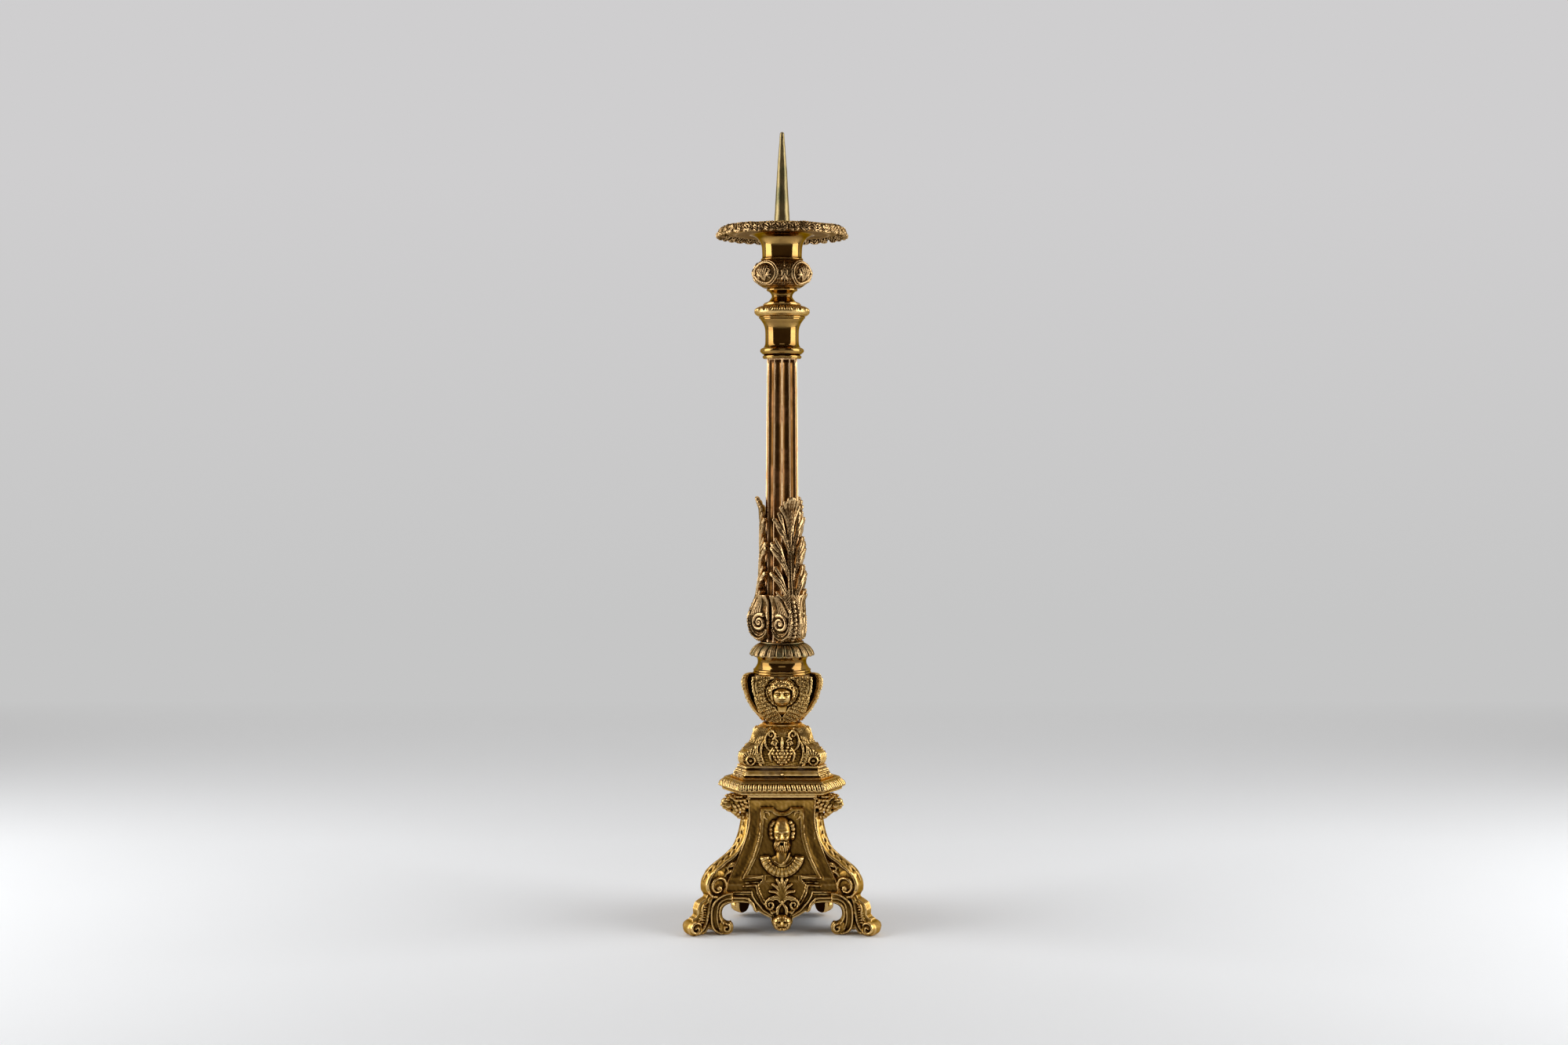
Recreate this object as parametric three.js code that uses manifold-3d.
// A three-sided altar candlestick with a pricket, a clamped stack of gilt and lacquered
// brass castings on an iron tie rod. Millimetres, +Z up. The front face looks towards -Y.

import * as THREE from 'three';
import { mergeVertices } from 'three/addons/utils/BufferGeometryUtils.js';
import Module from 'manifold-3d';

const wasm = await Module();
wasm.setup();

// Heights of the stacked pieces, from the floor up
const baseHeight = 137.5;
const slabHeight = 14;
const plinthHeight = 12.6;
const domeHeight = 41.4;
const vaseHeight = 49;
const vaseNeckHeight = 20;
const petalDiscHeight = 13.5;
const shaftLength = 289;
const capitalHeight = 44;
const ringHeight = 12.5;
const spoolHeight = 16.5;
const knopHeight = 28;
const neckHeight = 26;
const panThickness = 2.2;
const spikeLength = 105;

// Radii of the round pieces
const spikeRootRadius = 8.6;
const spikeRecess = 1.2;
const spikeTipRadius = 2;
const panRadius = 68.4;
const panRimWidth = 9;
const panCrestRise = 7.8;
const panRimDrop = 3.6;
const panScallops = 17;
const scallopDepth = 1.2;
const seatRise = 0.6;
const neckRadius = 20.5;
const neckFlareRadius = 34;
const knopRadius = 32.6;
const knopEndRadius = 23.5;
const spoolWaistRadius = 10.6;
const spoolEndRadius = 17;
const ringRadius = 28.6;
const ringFootRadius = 24.6;
const tongueCount = 14;
const tongueDepth = 0.8;
const capitalWaistRadius = 17.3;
const capitalBeadRadius = 22.6;
const shaftFootRadius = 17.9;
const shaftTopRadius = 14.8;
const fluteCount = 12;
const fluteDepth = 2.4;
const petalCount = 20;
const petalDiscRadius = 33.3;
const grooveDepth = 1.1;
const vaseNeckRadius = 25.2;
const vaseLipRadius = 30.4;
const vaseShoulderRadius = 31;
const vaseFootRadius = 15.6;
const cherubRise = 0.7;
const domeNeckRadius = 16.6;

// Three-sided pieces: distance of a face and of a cut corner from the axis
const domeFace = 28.5;
const domeCorner = 48;
const domeShoulder = 27.6;
const plinthFace = 37.7;
const plinthCorner = 53;
const slabFace = 50.2;
const slabCorner = 62.4;

// Base faces and consoles
const faceTop = 29.6;
const faceWaist = 28.3;
const faceFoot = 48;
const faceWaistHeight = 110;
const legWidth = 15.2;
const footReach = 112;
const kneeReach = 90.5;
const kneeHeight = 50;
const voluteRadius = 12;
const voluteProud = 2;
const archHeight = 31;
const apronWidth = 33;
const pendantClearance = 3.6;
const headReach = 72;
const headBack = 40;
const headHeight = 18.6;
const headWidth = 18.4;
const toeRadius = 7;
const toeSetback = 26.5;
const toeReach = 1.75 * faceFoot - toeSetback;
const shinSetback = 22.5;
const toeDepth = 10;
const bustLevel = 96;

// Leaves round the foot of the shaft
const leafLength = 149;
const leafBulge = 35;
const leafSideFace = 20.6;
const leafTurn = 23;

// Walls, rod and clearances
const castWall = 4;
const panelWall = 3;
const shaftWall = 5;
const rodRadius = 5;
const rodTipRadius = 4;
const rodTipLength = 12;
const boreClearance = 0.4;
const seatGap = 0.3;
const shieldGap = 0.6;
const strapThickness = 4;
const strapWidth = 12;
const strapBite = 5;
const washerRadius = 13;
const washerThickness = 2;
const nutSize = 17;
const nutThickness = 8;
const pinRadius = 1.5;

// Facets
const roundFacets = 20;
const smallFacets = 10;
const curveSteps = 3;

// Levels, worked out from the heights
const slabLevel = baseHeight;
const plinthLevel = slabLevel + slabHeight;
const domeLevel = plinthLevel + plinthHeight;
const vaseLevel = domeLevel + domeHeight;
const vaseNeckLevel = vaseLevel + vaseHeight;
const petalLevel = vaseNeckLevel + vaseNeckHeight;
const shaftLevel = petalLevel + petalDiscHeight;
const capitalLevel = shaftLevel + shaftLength;
const ringLevel = capitalLevel + capitalHeight;
const spoolLevel = ringLevel + ringHeight;
const knopLevel = spoolLevel + spoolHeight;
const neckLevel = knopLevel + knopHeight;
const panLevel = neckLevel + neckHeight;
const spikeLevel = panLevel + panThickness - spikeRecess;
const headLevel = baseHeight - headHeight;
const strapDrop = 2.9;
const strapTop = headLevel - strapDrop;
const boreRadius = rodRadius + boreClearance;

const faceTurns = [-90, 30, 150];
const cornerTurns = [-30, 90, 210];
const leafTurns = [-90 + leafTurn, 30 + leafTurn, 150 + leafTurn];

const finishes = {
  gilt: new THREE.MeshStandardMaterial({ color: 0xb48a4a, roughness: 0.42, metalness: 1 }),
  polished: new THREE.MeshStandardMaterial({ color: 0xbb9044, roughness: 0.22, metalness: 1 }),
  worn: new THREE.MeshStandardMaterial({ color: 0xa98458, roughness: 0.38, metalness: 1 }),
  patina: new THREE.MeshStandardMaterial({ color: 0x7d6448, roughness: 0.55, metalness: 1 }),
  verdigris: new THREE.MeshStandardMaterial({ color: 0x6f6740, roughness: 0.55, metalness: 0.9 }),
  iron: new THREE.MeshStandardMaterial({ color: 0x4b4540, roughness: 0.7, metalness: 0.9 }),
};

const candlestick = new THREE.Group();

// Joins shared vertices, drops the empty triangles on a lathe's axis and turns faces out
function weld(source) {
  const bare = source.clone();
  bare.deleteAttribute('normal');
  bare.deleteAttribute('uv');
  const merged = mergeVertices(bare, 1e-3);
  const corners = merged.index.array;
  const spots = merged.attributes.position;
  const a = new THREE.Vector3();
  const b = new THREE.Vector3();
  const c = new THREE.Vector3();
  const kept = [];
  let volume = 0;
  for (let i = 0; i < corners.length; i += 3) {
    const [p, q, r] = [corners[i], corners[i + 1], corners[i + 2]];
    if (p === q || q === r || r === p) continue;
    kept.push(p, q, r);
    a.fromBufferAttribute(spots, p);
    b.fromBufferAttribute(spots, q);
    c.fromBufferAttribute(spots, r);
    volume += a.dot(b.cross(c));
  }
  if (volume < 0) kept.reverse();
  const closed = new THREE.BufferGeometry();
  closed.setAttribute('position', spots);
  closed.setIndex(kept);
  return closed;
}

function toManifold(geometry) {
  const closed = weld(geometry);
  const vertProperties = new Float32Array(closed.attributes.position.array);
  const triVerts = new Uint32Array(closed.index.array);
  return new wasm.Manifold(new wasm.Mesh({ numProp: 3, vertProperties, triVerts }));
}

function fromManifold(solid) {
  const mesh = solid.getMesh();
  const geometry = new THREE.BufferGeometry();
  geometry.setAttribute('position', new THREE.BufferAttribute(mesh.vertProperties, 3));
  geometry.setIndex(new THREE.BufferAttribute(mesh.triVerts, 1));
  return geometry;
}

function join(first, ...others) {
  return fromManifold(others.reduce((sum, part) => sum.add(toManifold(part)), toManifold(first)));
}

function cut(first, ...others) {
  return fromManifold(others.reduce((rest, part) => rest.subtract(toManifold(part)), toManifold(first)));
}

// Adds one named piece, turned about the upright axis and lifted to its level
function place(name, geometry, finish, level = 0, turn = 0) {
  const solid = weld(geometry);
  solid.computeVertexNormals();
  const mesh = new THREE.Mesh(solid, finishes[finish]);
  mesh.name = name;
  mesh.position.z = level;
  mesh.rotation.z = THREE.MathUtils.degToRad(turn);
  candlestick.add(mesh);
}

// Turns an outline of (radius, height) about Z; the outline closes on itself or on the axis
function turned(outline, facets = roundFacets) {
  return new THREE.LatheGeometry(outline.getPoints(curveSteps), facets).rotateX(Math.PI / 2);
}

// Skins a body over rings of points: capped at both ends, or joined end to end
function loft(rings, endless = false) {
  const count = rings[0].length;
  const points = rings.flat();
  const triangles = [];
  const bands = endless ? rings.length : rings.length - 1;
  for (let band = 0; band < bands; band += 1) {
    const low = band * count;
    const high = ((band + 1) % rings.length) * count;
    for (let i = 0; i < count; i += 1) {
      const next = (i + 1) % count;
      triangles.push(low + i, low + next, high + next);
      triangles.push(low + i, high + next, high + i);
    }
  }
  if (!endless) {
    const foot = THREE.ShapeUtils.triangulateShape(rings[0], []);
    const head = THREE.ShapeUtils.triangulateShape(rings[rings.length - 1], []);
    const top = (rings.length - 1) * count;
    foot.forEach(([p, q, r]) => triangles.push(p, r, q));
    head.forEach(([p, q, r]) => triangles.push(top + p, top + q, top + r));
  }
  const body = new THREE.BufferGeometry();
  body.setAttribute('position', new THREE.Float32BufferAttribute(points.flatMap((p) => [p.x, p.y, p.z]), 3));
  body.setIndex(triangles);
  return body;
}

// Turns an outline like a lathe, with each point shifted by a rule of its angle
function carved(outline, facets, rule) {
  const points = outline.getPoints(curveSteps);
  points.pop();
  const rings = points.map((point) => Array.from({ length: facets }, (_, i) => {
    const angle = (i / facets) * 2 * Math.PI;
    const [radius, height] = rule(point, angle, i);
    return new THREE.Vector3(radius * Math.cos(angle), radius * Math.sin(angle), height);
  }));
  return loft(rings, true);
}

// Corner points of a three-sided outline with cut corners, first face towards -Y
function triangleRing(face, corner, height) {
  const half = (corner - face / 2) / Math.cos(Math.PI / 6);
  return faceTurns.flatMap((turn) => [-half, half].map((along) => new THREE.Vector3(face, along, height)
    .applyAxisAngle(new THREE.Vector3(0, 0, 1), THREE.MathUtils.degToRad(turn))));
}

function triangleLoft(steps) {
  return loft(steps.map(([face, corner, height]) => triangleRing(face, corner, height)));
}

function borePlug(length, radius = boreRadius) {
  return new THREE.CylinderGeometry(radius, radius, length, smallFacets)
    .rotateX(Math.PI / 2)
    .translate(0, 0, length / 2);
}

// Spike and pan

function pricketSpike() {
  const socketRadius = rodTipRadius + boreClearance;
  const socketDepth = rodTipLength + 1;
  const outline = new THREE.Path();
  outline.moveTo(0, socketDepth);
  outline.lineTo(socketRadius, socketDepth);
  outline.lineTo(socketRadius, 0);
  outline.lineTo(spikeRootRadius, 0);
  outline.lineTo(spikeRootRadius * 0.88, spikeLength * 0.18);
  outline.lineTo(spikeRootRadius * 0.6, spikeLength * 0.59);
  outline.lineTo(spikeTipRadius, spikeLength - spikeTipRadius / 2);
  outline.lineTo(spikeTipRadius / 2, spikeLength);
  outline.lineTo(0, spikeLength);
  return turned(outline, 8);
}

function dripPan() {
  const crestRadius = panRadius - panRimWidth + 1.5;
  const floorRadius = crestRadius - panCrestRise * 1.6;
  const holeRadius = rodTipRadius + boreClearance;
  const recessRadius = spikeRootRadius + boreClearance;
  const outline = new THREE.Path();
  outline.moveTo(holeRadius, 0);
  outline.lineTo(floorRadius, 0);
  outline.lineTo(crestRadius - 2, panCrestRise * 0.35);
  outline.lineTo(panRadius - 2, -panRimDrop);
  outline.lineTo(panRadius, -panRimDrop);
  outline.quadraticCurveTo(panRadius - 2, panCrestRise - panThickness, crestRadius, panCrestRise);
  outline.lineTo(crestRadius - 4, panCrestRise * 0.72);
  outline.lineTo(floorRadius, panThickness - seatRise);
  outline.lineTo(floorRadius - seatRise, panThickness);
  outline.lineTo(recessRadius, panThickness);
  outline.lineTo(recessRadius, panThickness - spikeRecess);
  outline.lineTo(holeRadius, panThickness - spikeRecess);
  outline.closePath();
  return carved(outline, panScallops * 2, (point, angle, i) => {
    const rim = point.x > panRadius - panRimWidth ? (i % 2) * scallopDepth : 0;
    return [point.x - rim / 2, point.y + rim * 0.8];
  });
}

// Round pieces between the pan and the shaft

function candleNeck() {
  const outline = new THREE.Path();
  outline.moveTo(boreRadius, 0);
  outline.lineTo(neckRadius + 0.6, 0);
  outline.lineTo(neckRadius, neckHeight * 0.1);
  outline.bezierCurveTo(
    neckRadius, neckHeight * 0.55,
    neckRadius + 1, neckHeight * 0.85,
    neckFlareRadius, neckHeight,
  );
  outline.lineTo(neckRadius - castWall, neckHeight);
  outline.lineTo(neckRadius - castWall, castWall);
  outline.lineTo(boreRadius, castWall);
  outline.closePath();
  return turned(outline);
}

function knop() {
  const medallions = 4;
  const firstMedallion = THREE.MathUtils.degToRad(-130);
  const outline = new THREE.Path();
  outline.moveTo(boreRadius, 0);
  outline.lineTo(knopEndRadius - 4, 0);
  outline.bezierCurveTo(knopRadius, knopHeight * 0.16, knopRadius + 3, knopHeight * 0.72, knopEndRadius, knopHeight);
  outline.lineTo(boreRadius, knopHeight);
  outline.lineTo(boreRadius, knopHeight - castWall);
  outline.bezierCurveTo(
    knopRadius - castWall, knopHeight * 0.8,
    knopRadius - castWall, knopHeight * 0.2,
    boreRadius, castWall,
  );
  outline.closePath();
  return carved(outline, roundFacets, (point, angle) => {
    const swell = Math.cos(medallions * (angle - firstMedallion)) * 0.8;
    const outside = point.x > knopEndRadius && point.y > 0 && point.y < knopHeight;
    return [point.x + (outside ? swell : 0), point.y];
  });
}

function neckSpool() {
  const outline = new THREE.Path();
  outline.moveTo(boreRadius, 0);
  outline.lineTo(spoolEndRadius + 1.5, 0);
  outline.quadraticCurveTo(spoolWaistRadius, spoolHeight * 0.2, spoolWaistRadius, spoolHeight * 0.45);
  outline.quadraticCurveTo(spoolWaistRadius, spoolHeight * 0.75, spoolEndRadius - 2, spoolHeight * 0.86);
  outline.lineTo(spoolEndRadius - 1, spoolHeight);
  outline.lineTo(boreRadius, spoolHeight);
  outline.closePath();
  return turned(outline, 16);
}

function gadroonRing() {
  const outline = new THREE.Path();
  outline.moveTo(boreRadius, 0);
  outline.lineTo(ringFootRadius, 0);
  outline.quadraticCurveTo(ringRadius + 1.5, ringHeight * 0.2, ringRadius - 0.6, ringHeight * 0.55);
  outline.quadraticCurveTo(ringRadius - 5, ringHeight * 0.9, spoolEndRadius + 1.5, ringHeight);
  outline.lineTo(boreRadius, ringHeight);
  outline.closePath();
  return carved(outline, tongueCount * 2, (point, angle, i) => {
    const tongue = point.x > ringFootRadius ? (i % 2) * tongueDepth : 0;
    return [point.x - tongue, point.y];
  });
}

function capital() {
  const beadLevel = capitalHeight * 0.19;
  const outline = new THREE.Path();
  outline.moveTo(boreRadius, 0);
  outline.lineTo(capitalWaistRadius + 0.5, 0);
  outline.lineTo(capitalWaistRadius + 0.5, beadLevel - 4);
  outline.lineTo(capitalBeadRadius - 1.5, beadLevel - 2.5);
  outline.quadraticCurveTo(capitalBeadRadius + 1.5, beadLevel, capitalBeadRadius - 2, beadLevel + 3);
  outline.lineTo(capitalWaistRadius + 1, beadLevel + 6);
  outline.lineTo(capitalWaistRadius, capitalHeight * 0.6);
  outline.quadraticCurveTo(capitalWaistRadius + 0.5, capitalHeight * 0.9, ringFootRadius, capitalHeight);
  outline.lineTo(capitalWaistRadius - castWall, capitalHeight);
  outline.lineTo(capitalWaistRadius - castWall, castWall);
  outline.lineTo(boreRadius, castWall);
  outline.closePath();
  return turned(outline);
}

// Fluted shaft: each flute is a hollow between two narrow fillets, deepest in its middle

function shaftRadiusAt(height) {
  return THREE.MathUtils.lerp(shaftFootRadius, shaftTopRadius, height / shaftLength);
}

function shaftRing(height, depth, flare = 0) {
  const steps = [[0, 0], [0.16, 0], [0.4, 0.9], [0.76, 0.9]];
  const radius = shaftRadiusAt(height) + flare;
  return Array.from({ length: fluteCount }, (_, flute) => steps.map(([share, sink]) => {
    const angle = ((flute + share - 0.08) / fluteCount) * 2 * Math.PI;
    const reach = radius - sink * depth;
    return new THREE.Vector3(reach * Math.cos(angle), reach * Math.sin(angle), height);
  })).flat();
}

function flutedShaft() {
  const boreRing = (height) => shaftRing(height, 0, shaftFootRadius - shaftWall - shaftRadiusAt(height) - 3);
  const body = loft([
    shaftRing(0, 0),
    shaftRing(3, fluteDepth),
    shaftRing(shaftLength - 6, fluteDepth * shaftTopRadius / shaftFootRadius),
    shaftRing(shaftLength, 0, 0.9),
    boreRing(shaftLength),
    boreRing(0),
  ], true);
  return cut(body, ...leafTurns.map((turn) => pinHole(turn)));
}

// Leaves: a broad plate bent round the shaft, curled out at its tip, with two flat side
// faces at its foot that carry the scrolls

const leafInner = shaftFootRadius + seatGap;
const pinLevel = leafLength * 0.14;
const pinDepth = leafInner + 4;

function pinHole(turn) {
  return new THREE.CylinderGeometry(pinRadius + 0.1, pinRadius + 0.1, pinDepth, 8)
    .rotateZ(Math.PI / 2)
    .translate(pinDepth / 2, 0, pinLevel)
    .rotateZ(THREE.MathUtils.degToRad(turn));
}

function leafPin() {
  const root = shaftFootRadius - shaftWall - 3;
  const length = pinDepth - seatGap - root;
  return new THREE.CylinderGeometry(pinRadius, pinRadius, length, 8)
    .rotateZ(Math.PI / 2)
    .translate(root + length / 2, 0, pinLevel);
}

// Share of the leaf's length, inner gap, thickness at the midrib and half the angle it spans
const leafStations = [
  [0, 0, 7, 50],
  [0.08, 0, 15.4, 57],
  [0.14, 0, leafBulge - leafInner, 57],
  [0.2, 0, 15, 56],
  [0.27, 0, 11.5, 52],
  [0.31, 0, 9, 35],
  [0.36, 0.2, 7, 47],
  [0.43, 0.4, 5.6, 50],
  [0.47, 0.5, 4.8, 33],
  [0.53, 0.6, 4.2, 44],
  [0.6, 0.7, 3.8, 50],
  [0.64, 0.8, 3.6, 32],
  [0.7, 0.9, 3.4, 42],
  [0.77, 1.2, 3.2, 50],
  [0.81, 1.4, 3, 30],
  [0.9, 2.2, 2.8, 36],
  [0.97, 5, 2.4, 22],
  [1, 8, 1.8, 9],
];

function leafSection([share, gap, thickness, span]) {
  const outer = [];
  const inner = [];
  const inside = leafInner + gap;
  const crest = inside + thickness;
  for (let i = -4; i <= 4; i += 1) {
    const angle = THREE.MathUtils.degToRad((span * i) / 4);
    const fromSide = Math.PI / 3 - Math.abs(angle);
    const edgeThickness = inside + Math.max(1.6, thickness * 0.45);
    const blend = Math.abs(i) / 4;
    const plate = THREE.MathUtils.lerp(crest, edgeThickness, blend * blend);
    const wedge = Math.min(crest / Math.cos(angle), leafSideFace / Math.cos(fromSide));
    const reach = share < 0.3 ? Math.max(wedge, inside + 1.6) : plate;
    outer.push(new THREE.Vector3(reach * Math.cos(angle), reach * Math.sin(angle), share * leafLength));
    if (i % 2 === 0) {
      // The inner corners stand a little off, so that the chords between them clear the shaft
      const away = inside / Math.cos(THREE.MathUtils.degToRad(span / 4));
      inner.unshift(new THREE.Vector3(away * Math.cos(angle), away * Math.sin(angle), share * leafLength));
    }
  }
  return [...outer, ...inner];
}

function acanthusLeaf() {
  return cut(loft(leafStations.map(leafSection)), pinHole(0));
}

// Petal disc and vase

function petalDisc() {
  const outline = new THREE.Path();
  outline.moveTo(boreRadius, 0);
  outline.lineTo(petalDiscRadius - 3, 0);
  outline.lineTo(petalDiscRadius, -1);
  outline.quadraticCurveTo(petalDiscRadius - 3, petalDiscHeight * 0.7, leafInner + 4, petalDiscHeight * 0.86);
  outline.lineTo(leafInner + 3.4, petalDiscHeight);
  outline.lineTo(boreRadius, petalDiscHeight);
  outline.closePath();
  return carved(outline, petalCount * 2, (point, angle, i) => {
    const groove = point.x > leafInner + 5 ? (i % 2) * grooveDepth : 0;
    return [point.x - groove, point.y];
  });
}

function vaseNeck() {
  const outline = new THREE.Path();
  outline.moveTo(vaseShoulderRadius - 2 * castWall, 0);
  outline.lineTo(vaseLipRadius - 0.8, 0);
  outline.quadraticCurveTo(vaseLipRadius + 1, vaseNeckHeight * 0.1, vaseLipRadius - 1.4, vaseNeckHeight * 0.2);
  outline.quadraticCurveTo(vaseNeckRadius, vaseNeckHeight * 0.5, vaseNeckRadius, vaseNeckHeight * 0.78);
  outline.lineTo(vaseNeckRadius, vaseNeckHeight);
  outline.lineTo(boreRadius, vaseNeckHeight);
  outline.lineTo(boreRadius, vaseNeckHeight - castWall);
  outline.lineTo(vaseNeckRadius - castWall, vaseNeckHeight - castWall);
  outline.closePath();
  return turned(outline);
}

// Height share and radius share of the vase wall, from its foot to its lip
const vaseStations = [[0, 0.5], [0.1, 0.6], [0.28, 0.81], [0.5, 0.95], [0.72, 1], [0.9, 0.97], [1, 0.9]];

function vaseRadiusAt(share) {
  const above = Math.max(1, vaseStations.findIndex(([height]) => height >= share));
  const [low, lowShare] = vaseStations[above - 1];
  const [high, highShare] = vaseStations[above];
  const mix = (share - low) / (high - low);
  const swell = THREE.MathUtils.lerp(lowShare, highShare, mix);
  return THREE.MathUtils.mapLinear(swell, 0.5, 1, vaseFootRadius, vaseShoulderRadius);
}

function vaseBody() {
  const outline = new THREE.Path();
  outline.moveTo(boreRadius, 0);
  vaseStations.forEach(([share]) => outline.lineTo(vaseRadiusAt(share), share * vaseHeight));
  [1, 0.5, 0.1].forEach((share) => outline.lineTo(vaseRadiusAt(share) - castWall, share * vaseHeight));
  outline.lineTo(boreRadius, castWall);
  outline.closePath();
  return turned(outline);
}

// Height share, thickness in the middle and at the wing edge, and half the angle spanned
const wingStations = [
  [0.02, 2, 2.4, 30],
  [0.1, 2.4, 4, 44],
  [0.28, 2.6, 6, 51],
  [0.5, 2.8, 7.4, 54],
  [0.72, 2.8, 8.6, 55],
  [0.9, 2.4, 9, 52],
  [0.985, 1.8, 5, 42],
];

function wingSection([share, middle, edge, span]) {
  const inside = vaseRadiusAt(share) + shieldGap;
  const outer = [];
  const inner = [];
  for (let i = -3; i <= 3; i += 1) {
    const angle = THREE.MathUtils.degToRad((span * i) / 3);
    const spread = (Math.abs(i) / 3) ** 2;
    const reach = inside + THREE.MathUtils.lerp(middle, edge, spread);
    outer.push(new THREE.Vector3(reach * Math.cos(angle), reach * Math.sin(angle), share * vaseHeight));
    if (i % 2 !== 0) {
      const away = inside / Math.cos(THREE.MathUtils.degToRad(span / 3));
      inner.unshift(new THREE.Vector3(away * Math.cos(angle), away * Math.sin(angle), share * vaseHeight));
    }
  }
  return [...outer, ...inner];
}

// A rounded lump that stands out along +X, with half its depth, width and height
function roundBoss(depth, width, height, x, z, facets = 8) {
  return new THREE.SphereGeometry(1, facets, facets * 0.6)
    .rotateX(Math.PI / 2)
    .scale(depth, width, height)
    .translate(x, 0, z);
}

// Leaves only what stands further out along +X than the given reach
function flatBack(solid, reach) {
  const size = 2 * slabCorner;
  return cut(solid, new THREE.BoxGeometry(size, size, 2 * baseHeight).translate(reach - size / 2, 0, baseHeight / 2));
}

function cherubPanel() {
  const wall = vaseRadiusAt(cherubRise) + shieldGap;
  const head = roundBoss(8, 11.5, 13.5, wall + 2.6, vaseHeight * cherubRise, 10);
  return join(loft(wingStations.map(wingSection)), flatBack(head, wall));
}

// Dome, plinth and slab

// Radius of the dome at an angle: a three-sided outline that melts into a circle
function domeRing(face, corner, circle, roundness, height) {
  const count = 24;
  return Array.from({ length: count }, (_, i) => {
    const angle = (i / count) * 2 * Math.PI;
    const fromFace = Math.abs(THREE.MathUtils.euclideanModulo(angle + Math.PI / 2 + Math.PI / 3, Math.PI * 2 / 3)
      - Math.PI / 3);
    const flat = face / Math.cos(fromFace);
    const chamfer = corner / Math.cos(Math.PI / 3 - fromFace);
    const radius = THREE.MathUtils.lerp(Math.min(flat, chamfer), circle, roundness);
    return new THREE.Vector3(radius * Math.cos(angle), radius * Math.sin(angle), height);
  });
}

// Height share, face and corner shares and roundness of the dome's wall
const domeStations = [
  [0, 1, 0.93, 0],
  [0.14, 1, 1, 0],
  [0.3, 0.99, 0.98, 0],
  [0.42, 0.96, 0.83, 0.05],
  [0.52, 0.93, 0.7, 0.15],
  [0.7, 0.9, 0.61, 0.55],
  [0.86, 0.85, 0.57, 1],
];

function domeShell(stations, inset) {
  return stations.map(([share, face, corner, roundness]) => domeRing(
    domeFace * face - inset,
    domeCorner * corner - inset,
    domeShoulder - inset,
    roundness,
    share * domeHeight,
  ));
}

function dome() {
  const shoulderTop = domeHeight * 0.93;
  const outer = loft([
    ...domeShell(domeStations, 0),
    domeRing(domeNeckRadius + 6, domeNeckRadius + 6, domeNeckRadius + 6, 1, shoulderTop),
    domeRing(domeNeckRadius, domeNeckRadius, domeNeckRadius, 1, shoulderTop + 0.4),
    domeRing(domeNeckRadius, domeNeckRadius, domeNeckRadius, 1, domeHeight),
  ]);
  const hollowStations = domeStations.filter((_, i) => i % 2 === 0);
  const hollow = loft(domeShell(hollowStations, castWall)).translate(0, 0, -1);
  const masks = faceTurns.map((turn) => roundBoss(5.5, 9.5, 13, domeFace - 1, domeHeight * 0.4)
    .rotateZ(THREE.MathUtils.degToRad(turn)));
  const scrolls = cornerTurns.map((turn) => new THREE.CylinderGeometry(6.6, 6.6, 15, smallFacets)
    .translate(domeCorner - 7, 0, domeHeight * 0.2)
    .rotateZ(THREE.MathUtils.degToRad(turn)));
  return cut(join(outer, ...masks, ...scrolls), hollow, borePlug(domeHeight + 1));
}

function steppedPlinth() {
  const outer = triangleLoft([
    [plinthFace, plinthCorner, 0],
    [plinthFace, plinthCorner, plinthHeight * 0.14],
    [plinthFace - 2.5, plinthCorner - 2, plinthHeight * 0.3],
    [plinthFace - 3.4, plinthCorner - 4, plinthHeight * 0.62],
    [plinthFace - 6, plinthCorner - 5, plinthHeight * 0.72],
    [domeFace + 1.9, domeCorner - 2, plinthHeight],
  ]);
  const hollow = triangleLoft([
    [plinthFace - 3 * castWall, plinthCorner - 4 * castWall, -1],
    [domeFace - castWall, domeCorner - 3 * castWall, plinthHeight + 1],
  ]);
  return cut(outer, hollow);
}

function corniceSlab() {
  const outer = triangleLoft([
    [slabFace - 8, slabCorner - 8, 0],
    [slabFace - 3.4, slabCorner - 3.4, slabHeight * 0.1],
    [slabFace - 2.6, slabCorner - 2.6, slabHeight * 0.26],
    [slabFace, slabCorner, slabHeight * 0.36],
    [slabFace - 0.6, slabCorner - 0.6, slabHeight * 0.5],
    [slabFace - 4.6, slabCorner - 4.6, slabHeight * 0.88],
    [slabFace - 5, slabCorner - 5, slabHeight],
  ]);
  const pocket = triangleLoft([
    [plinthFace - castWall, plinthCorner - castWall, castWall],
    [plinthFace - castWall, plinthCorner - castWall, slabHeight + 1],
  ]);
  return cut(outer, pocket, borePlug(castWall + 2).translate(0, 0, -1));
}

// Base faces: distance of a face's surface from the axis at a height

function faceAt(height) {
  if (height > faceWaistHeight) {
    const rise = (height - faceWaistHeight) / (baseHeight - faceWaistHeight);
    return THREE.MathUtils.lerp(faceWaist, faceTop, rise * rise);
  }
  const fall = 1 - height / faceWaistHeight;
  return THREE.MathUtils.lerp(faceWaist, faceFoot, Math.sin(fall * Math.PI / 2) ** 1.6);
}

// Half the width of a face between its two consoles: it clears the volutes beside it
function faceEdgeAt(distance, height) {
  const besideVolute = height < kneeHeight + voluteRadius;
  return Math.sqrt(3) * distance - legWidth - seatGap - (besideVolute ? 2 * voluteProud : 0);
}

// Half-width of the hanging apron: height share of the arch and share of the apron's width
const apronOutline = [
  [1, 1], [0.84, 0.87], [0.69, 0.79], [0.61, 0.53], [0.52, 0.31], [0.26, 0.27],
];

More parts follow.
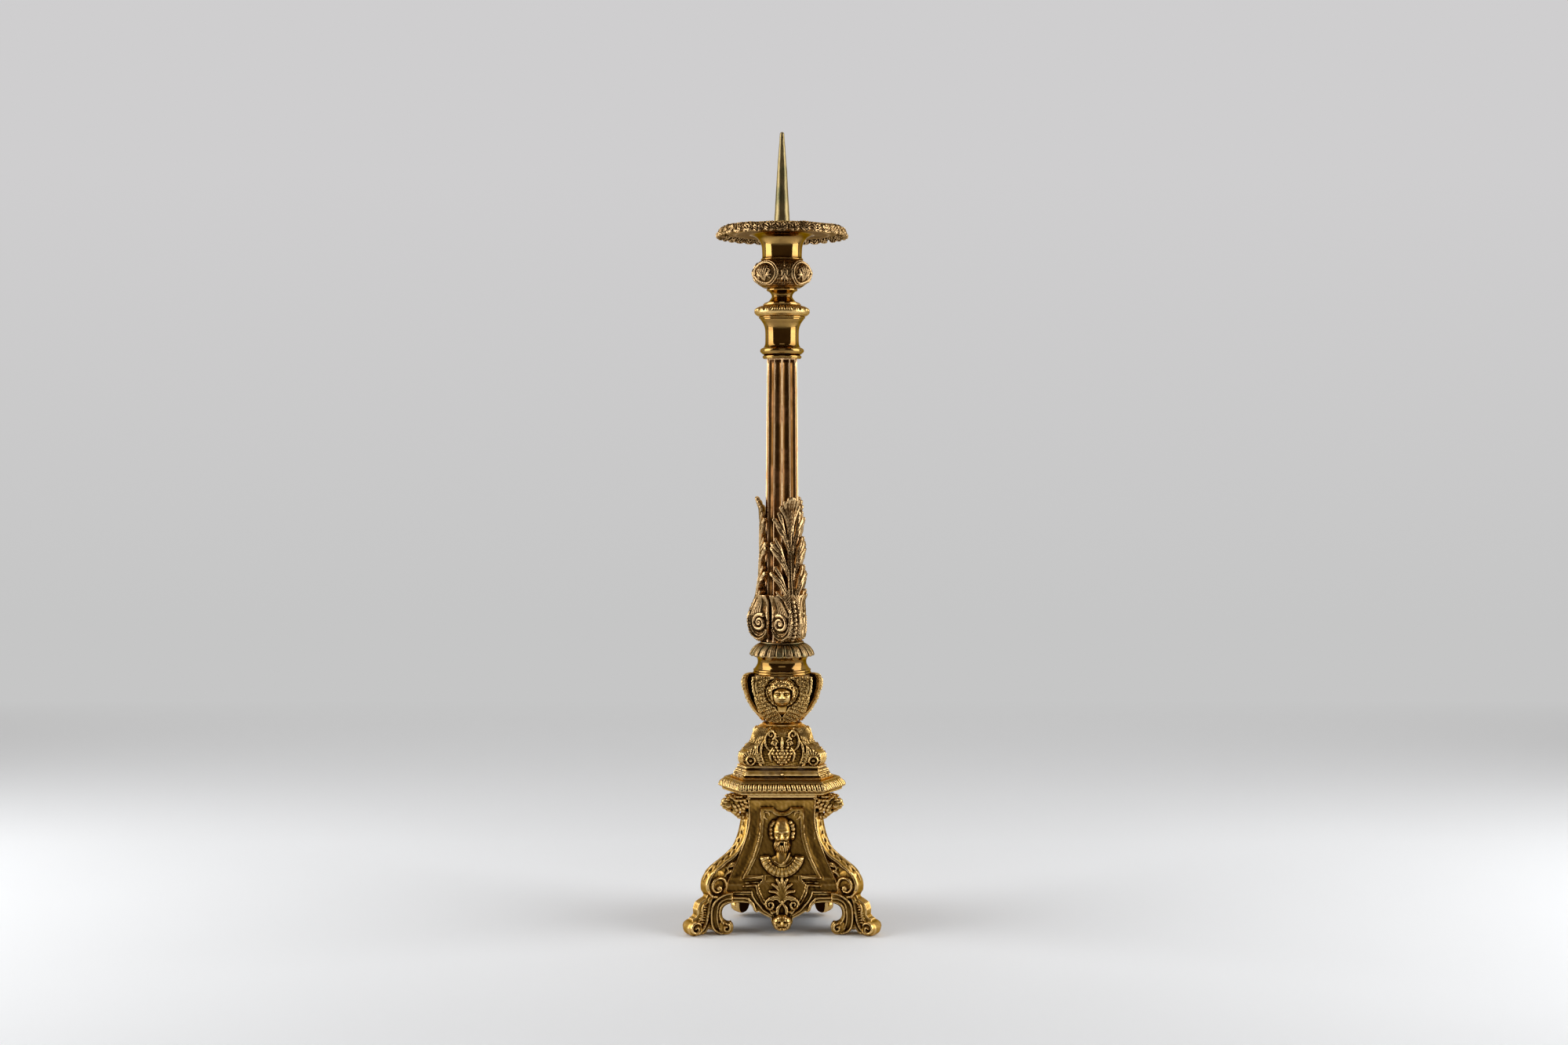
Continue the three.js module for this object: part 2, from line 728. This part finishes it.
function panelSection(height, halfWidth, raised) {
  const surface = faceAt(height);
  const front = [[-1, 1.6], [-0.93, 1.6], [-0.88, 0], [-0.68, 0], [-0.63, 1.2]];
  const mirrored = [...front].reverse().map(([share, lift]) => [-share, lift]);
  const outer = [...front, ...mirrored].map(([share, lift]) => {
    const distance = surface + lift + raised;
    return new THREE.Vector3(distance, share * (halfWidth ?? faceEdgeAt(distance, height)), height);
  });
  const inner = [1, -1].map((share) => {
    const distance = surface - panelWall;
    return new THREE.Vector3(distance, share * (halfWidth ?? faceEdgeAt(distance, height)), height);
  });
  return [...outer, ...inner];
}

function bust() {
  const shoulderLevel = bustLevel - 27.5;
  const neckLevel = bustLevel - 17;
  const head = roundBoss(9.5, 11, 15.5, faceAt(bustLevel) + 1.5, bustLevel, 10);
  const throat = new THREE.CylinderGeometry(6, 8, 14, 8)
    .rotateX(Math.PI / 2)
    .translate(faceAt(neckLevel) + 0.5, 0, neckLevel);
  const shoulders = roundBoss(7, 20, 10.5, faceAt(shoulderLevel), shoulderLevel);
  return [head, throat, shoulders];
}

function sidePanel() {
  const pendantTop = archHeight * 0.41;
  const lip = [baseHeight, baseHeight - 3]
    .map((height) => panelSection(height, undefined, 2));
  const field = [baseHeight - 4, faceWaistHeight, 90, 70, 52, archHeight]
    .map((height) => panelSection(height, undefined, 0));
  const apron = apronOutline.map(([rise, share]) => panelSection(
    archHeight * rise - (rise === 1 ? 0.3 : 0),
    apronWidth * share,
    0.4 + 2.2 * (1 - rise),
  ));
  const tip = panelSection(pendantClearance, 2.4, 2);
  const pendant = roundBoss(6, 9.8, 8, faceAt(pendantTop) + 0.6, pendantTop - 0.4);
  return join(loft([...lip, ...field, ...apron, tip].reverse()), ...bust(), pendant);
}

// Corner consoles: an S-shaped profile in the upright plane through the corner

function consoleProfile() {
  const inner = (height) => 2 * (faceAt(height) - panelWall) - legWidth * Math.sqrt(3) / 2 - 2;
  const neckReach = headReach * 0.61;
  const shinReach = 2 * faceFoot - shinSetback;
  const shape = new THREE.Shape();
  shape.moveTo(inner(baseHeight), baseHeight);
  shape.lineTo(inner(strapTop), strapTop + seatGap);
  shape.lineTo(inner(strapTop) + strapBite, strapTop + seatGap);
  shape.lineTo(inner(strapTop) + strapBite, strapTop - strapThickness - seatGap);
  shape.lineTo(inner(strapTop), strapTop - strapThickness - seatGap);
  [18, 36, 52, 68].forEach((drop) => shape.lineTo(inner(strapTop - drop), strapTop - drop));
  shape.quadraticCurveTo(shinReach, archHeight, shinReach, archHeight * 0.66);
  shape.quadraticCurveTo(shinReach, 9, shinReach + 8, 4);
  shape.quadraticCurveTo(shinReach + 11, 0, shinReach + 17, 0);
  shape.lineTo(footReach - 7, 0);
  shape.quadraticCurveTo(footReach + 1, 1, footReach - 0.5, 8);
  shape.quadraticCurveTo(footReach - 1, 13.5, footReach - 7, 15);
  shape.quadraticCurveTo(footReach - 12, 16, footReach - 13, 21);
  shape.quadraticCurveTo(footReach - 13, 26, footReach - 16, 27.5);
  shape.quadraticCurveTo(kneeReach - 2, 31, kneeReach - 4.5, 38);
  shape.quadraticCurveTo(kneeReach + 1.5, 43, kneeReach, kneeHeight);
  shape.quadraticCurveTo(kneeReach - 1.6, kneeHeight + 10, kneeReach - 15, kneeHeight + 18);
  shape.quadraticCurveTo(kneeReach - 26, kneeHeight + 23.5, kneeReach - 35, kneeHeight + 32);
  shape.quadraticCurveTo(neckReach + 3.5, kneeHeight + 42, neckReach + 1, headLevel - 11);
  shape.lineTo(neckReach + 1, headLevel - seatGap);
  shape.lineTo(headBack, headLevel - seatGap);
  shape.lineTo(headBack, baseHeight);
  shape.closePath();
  return shape;
}

// One of the two scrolled straps that carry the arch border down to the floor
function sideToe(mirror) {
  const shape = new THREE.Shape();
  shape.moveTo(toeReach - 0.5, archHeight - 0.5);
  shape.quadraticCurveTo(toeReach + 4, archHeight * 0.8, toeReach + 2.5, archHeight * 0.6);
  shape.quadraticCurveTo(toeReach + 2, toeRadius * 2, toeReach - 1, toeRadius * 2);
  shape.quadraticCurveTo(toeReach - toeRadius, toeRadius * 1.8, toeReach - toeRadius, toeRadius);
  shape.quadraticCurveTo(toeReach - toeRadius, 1, toeReach - 2, 0);
  shape.lineTo(toeReach + 5, 0);
  shape.quadraticCurveTo(toeReach + 11, 1, toeReach + 13, toeRadius * 0.6);
  shape.lineTo(toeReach + 14, archHeight - 7);
  shape.quadraticCurveTo(toeReach + 13, archHeight + 2, toeReach + 3, archHeight + 7);
  shape.closePath();
  const toe = new THREE.ExtrudeGeometry(shape, {
    depth: toeDepth,
    bevelEnabled: false,
    curveSegments: curveSteps - 1,
  });
  // Sketch X runs along the face and sketch Y runs up; the extrusion runs away from the axis
  toe.applyMatrix4(new THREE.Matrix4().makeBasis(
    new THREE.Vector3(0, 1, 0),
    new THREE.Vector3(0, 0, 1),
    new THREE.Vector3(1, 0, 0),
  ));
  toe.translate(faceFoot - 0.8, 0, 0);
  // The face stands 60 degrees round from the corner, so the strap turns with it
  toe.rotateZ(-Math.PI / 3);
  return mirror ? toe.scale(1, -1, 1) : toe;
}

function volute() {
  const width = legWidth + 2 * voluteProud;
  return new THREE.CylinderGeometry(voluteRadius, voluteRadius, width, 16)
    .translate(kneeReach - voluteRadius - 1.5, 0, kneeHeight - 3);
}

function cornerLeg() {
  const profile = new THREE.ExtrudeGeometry(consoleProfile(), {
    depth: legWidth,
    bevelEnabled: false,
    curveSegments: curveSteps,
  });
  const console = profile.rotateX(Math.PI / 2).translate(0, legWidth / 2, 0);
  return join(console, volute(), sideToe(false), sideToe(true));
}

// Heads under the cut corners of the slab, looking outwards
function cornerHead() {
  const middle = headLevel + headHeight / 2;
  const depth = headReach - headBack;
  const skull = roundBoss(depth / 2, headWidth / 2, headHeight / 2 - 0.2, headBack + depth / 2, middle);
  const hair = roundBoss(depth * 0.34, headWidth / 2 + 0.6, headHeight * 0.46, headBack + depth * 0.47, middle);
  return flatBack(join(skull, hair), headBack + seatGap);
}

// Iron work

function tieRod() {
  const foot = strapTop - strapThickness - washerThickness - nutThickness - 8;
  const shoulder = panLevel - seatGap;
  const tip = spikeLevel + rodTipLength;
  const outline = new THREE.Path();
  outline.moveTo(0, foot);
  outline.lineTo(rodRadius - 1, foot);
  outline.lineTo(rodRadius, foot + 1);
  outline.lineTo(rodRadius, shoulder);
  outline.lineTo(rodTipRadius, shoulder);
  outline.lineTo(rodTipRadius, tip);
  outline.lineTo(0, tip);
  return turned(outline, smallFacets);
}

function baseStrap() {
  const armReach = 2 * (faceAt(strapTop) - panelWall) - legWidth * Math.sqrt(3) / 2 - 2 + strapBite - seatGap;
  const hub = borePlug(strapThickness, washerRadius + 4);
  const arms = cornerTurns.map((turn) => new THREE.BoxGeometry(armReach, strapWidth, strapThickness)
    .translate(armReach / 2, 0, strapThickness / 2)
    .rotateZ(THREE.MathUtils.degToRad(turn)));
  return cut(join(hub, ...arms), borePlug(strapThickness + 2).translate(0, 0, -1));
}

function strapWasher() {
  return cut(borePlug(washerThickness, washerRadius), borePlug(washerThickness + 2).translate(0, 0, -1));
}

function tieNut() {
  const block = new THREE.BoxGeometry(nutSize, nutSize, nutThickness).translate(0, 0, nutThickness / 2);
  return cut(block, borePlug(nutThickness + 2).translate(0, 0, -1));
}

place('pricket_spike', pricketSpike(), 'verdigris', spikeLevel);
place('drip_pan', dripPan(), 'gilt', panLevel);
place('candle_neck', candleNeck(), 'polished', neckLevel);
place('knop', knop(), 'gilt', knopLevel);
place('neck_spool', neckSpool(), 'polished', spoolLevel);
place('gadroon_ring', gadroonRing(), 'gilt', ringLevel);
place('capital', capital(), 'polished', capitalLevel);
place('fluted_shaft', flutedShaft(), 'worn', shaftLevel);
leafTurns.forEach((turn, i) => {
  place(`acanthus_leaf_${i + 1}`, acanthusLeaf(), 'worn', shaftLevel, turn);
  place(`leaf_pin_${i + 1}`, leafPin(), 'iron', shaftLevel, turn);
});
place('petal_disc', petalDisc(), 'patina', petalLevel);
place('vase_neck', vaseNeck(), 'polished', vaseNeckLevel);
place('vase_body', vaseBody(), 'gilt', vaseLevel);
place('dome', dome(), 'gilt', domeLevel);
place('stepped_plinth', steppedPlinth(), 'gilt', plinthLevel);
place('cornice_slab', corniceSlab(), 'gilt', slabLevel);
faceTurns.forEach((turn, i) => {
  place(`cherub_panel_${i + 1}`, cherubPanel(), 'gilt', vaseLevel, turn);
  place(`side_panel_${i + 1}`, sidePanel(), 'gilt', 0, turn);
});
cornerTurns.forEach((turn, i) => {
  place(`corner_leg_${i + 1}`, cornerLeg(), 'gilt', 0, turn);
  place(`corner_head_${i + 1}`, cornerHead(), 'gilt', 0, turn);
});
place('tie_rod', tieRod(), 'iron');
place('base_strap', baseStrap(), 'iron', strapTop - strapThickness);
place('strap_washer', strapWasher(), 'iron', strapTop - strapThickness - washerThickness);
place('tie_nut', tieNut(), 'iron', strapTop - strapThickness - washerThickness - nutThickness);

// The origin is on the floor under the middle of the overall box, which a three-footed
// base puts a little off the stack's axis
const reach = new THREE.Box3().setFromObject(candlestick, true);
candlestick.position.y = -(reach.min.y + reach.max.y) / 2;

export default candlestick;
